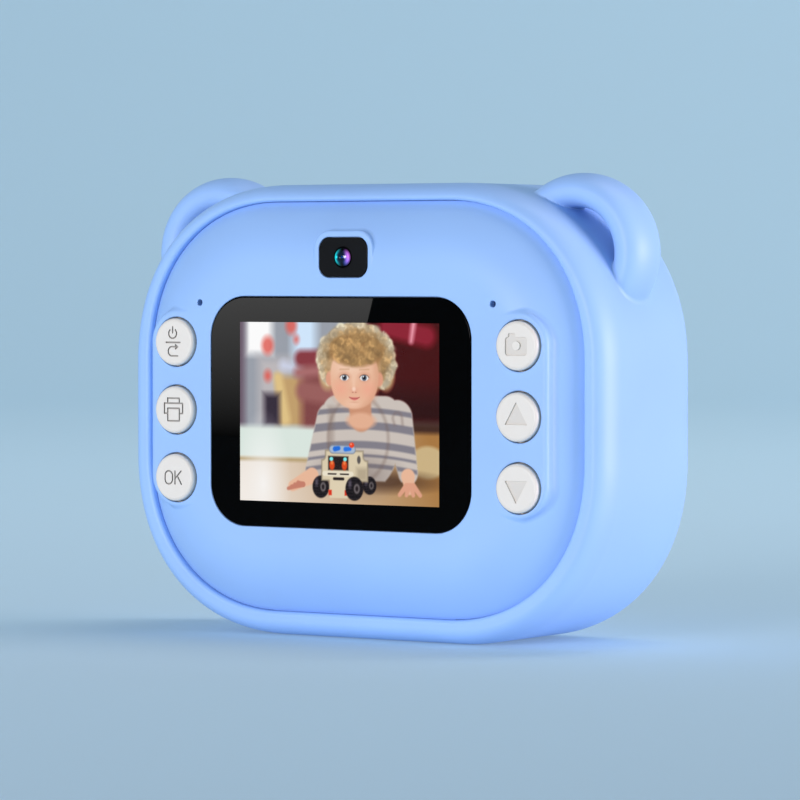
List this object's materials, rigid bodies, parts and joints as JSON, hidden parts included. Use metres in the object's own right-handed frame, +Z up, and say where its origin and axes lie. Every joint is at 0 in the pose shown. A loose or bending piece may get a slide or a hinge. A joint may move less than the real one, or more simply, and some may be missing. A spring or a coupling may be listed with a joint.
{
  "type": "kids digital camera",
  "caption": "Rounded light blue kids' camera with ear-shaped strap loops, a rear screen, round push buttons, a front lens and a hinged paper door over a small thermal printer.",
  "frame": {"origin": "middle of the base of the bounding box, on the surface the camera stands on", "axes": "+X to the right as the screen is looked at, +Y from the screen side towards the lens side, +Z up"},
  "size_m": [0.1198, 0.048, 0.0952],
  "materials": {
    "body_plastic": "satin light blue",
    "button_plastic": "satin white",
    "black_glass": "polished, printed black behind",
    "black_plastic": "fine matte",
    "grey_plastic": "matte",
    "clear_plastic": "clear moulded",
    "circuit_board": "solder mask",
    "battery_wrap": "shrink wrap",
    "steel": "brushed",
    "aluminium": "satin",
    "brass": "machined",
    "rubber": "ground rubber",
    "ceramic": "glazed strip",
    "paper": "smooth thermal paper",
    "cardboard": "wound card tube"
  },
  "bodies": {
    "root": {"housing": "body_plastic", "rear_panel": "body_plastic", "front_cover": "body_plastic", "screen_glass": "black_glass", "lcd_panel": "black_plastic", "selfie_window": "black_glass", "selfie_camera": "black_plastic", "ok_switch": "black_plastic", "print_switch": "black_plastic", "power_switch": "black_plastic", "down_switch": "black_plastic", "up_switch": "black_plastic", "shutter_switch": "black_plastic", "main_board": "circuit_board", "microphone": "steel", "indicator_led": "clear_plastic", "usb_port": "steel", "card_socket": "steel", "battery": "battery_wrap", "speaker": "black_plastic", "flash_window": "clear_plastic", "flash_led": "button_plastic", "lens_ring": "button_plastic", "lens_window": "black_glass", "lens_barrel": "black_plastic", "lens_element": "clear_plastic", "sensor_board": "circuit_board", "case_screw_1": "steel", "case_screw_2": "steel", "case_screw_3": "steel", "case_screw_4": "steel", "door_hinge_pin": "steel", "tear_bar": "steel", "printer_frame": "steel", "stepper_motor": "aluminium", "print_head": "ceramic", "head_sink": "aluminium", "head_spring": "steel", "paper_cradle": "grey_plastic"},
    "power": {"power_button": "button_plastic"},
    "print": {"print_button": "button_plastic"},
    "ok": {"ok_button": "button_plastic"},
    "shutter": {"shutter_button": "button_plastic"},
    "up": {"up_button": "button_plastic"},
    "down": {"down_button": "button_plastic"},
    "door": {"paper_door": "body_plastic"},
    "latch": {"door_latch": "button_plastic"},
    "platen": {"platen_roller": "rubber", "platen_shaft": "steel", "platen_gear": "button_plastic"},
    "idler": {"idler_gear": "button_plastic"},
    "pinion": {"motor_pinion": "brass", "motor_shaft": "steel"},
    "roll": {"paper_roll": "paper", "paper_core": "cardboard"},
    "card": {"memory_card": "black_plastic"}
  },
  "joints": [
    {"name": "power_press", "type": "slide", "parent": "root", "child": "power", "axis": [0, 1, 0], "range_m": [0, 0.0008], "stiffness_N_per_m": 400},
    {"name": "print_press", "type": "slide", "parent": "root", "child": "print", "axis": [0, 1, 0], "range_m": [0, 0.0008], "stiffness_N_per_m": 400},
    {"name": "ok_press", "type": "slide", "parent": "root", "child": "ok", "axis": [0, 1, 0], "range_m": [0, 0.0008], "stiffness_N_per_m": 400},
    {"name": "shutter_press", "type": "slide", "parent": "root", "child": "shutter", "axis": [0, 1, 0], "range_m": [0, 0.0008], "stiffness_N_per_m": 400},
    {"name": "up_press", "type": "slide", "parent": "root", "child": "up", "axis": [0, 1, 0], "range_m": [0, 0.0008], "stiffness_N_per_m": 400},
    {"name": "down_press", "type": "slide", "parent": "root", "child": "down", "axis": [0, 1, 0], "range_m": [0, 0.0008], "stiffness_N_per_m": 400},
    {"name": "door_swing", "type": "hinge", "parent": "root", "child": "door", "pos_m": [0, 0.0172, 0.00865], "axis": [-1, 0, 0], "range_deg": [0, 95]},
    {"name": "latch_slide", "type": "slide", "parent": "door", "child": "latch", "axis": [0, 0, -1], "range_m": [0, 0.002], "stiffness_N_per_m": 150},
    {"name": "platen_spin", "type": "hinge", "parent": "door", "child": "platen", "pos_m": [0, 0.0124, 0.04565], "axis": [-1, 0, 0], "continuous": true},
    {"name": "idler_spin", "type": "hinge", "parent": "root", "child": "idler", "pos_m": [0.034, 0.0028, 0.04565], "axis": [-1, 0, 0], "continuous": true},
    {"name": "pinion_spin", "type": "hinge", "parent": "root", "child": "pinion", "pos_m": [0.034, -0.0044, 0.04565], "axis": [-1, 0, 0], "continuous": true},
    {"name": "roll_spin", "type": "hinge", "parent": "root", "child": "roll", "pos_m": [0, 0.0035, 0.02215], "axis": [-1, 0, 0], "continuous": true},
    {"name": "card_slide", "type": "slide", "parent": "root", "child": "card", "axis": [-1, 0, 0], "range_m": [0, 0.014]}
  ],
  "couplings": [
    {"joint": "platen_spin", "follows": "roll_spin", "ratio": 4},
    {"joint": "idler_spin", "follows": "roll_spin", "ratio": -4},
    {"joint": "pinion_spin", "follows": "roll_spin", "ratio": 8}
  ]
}
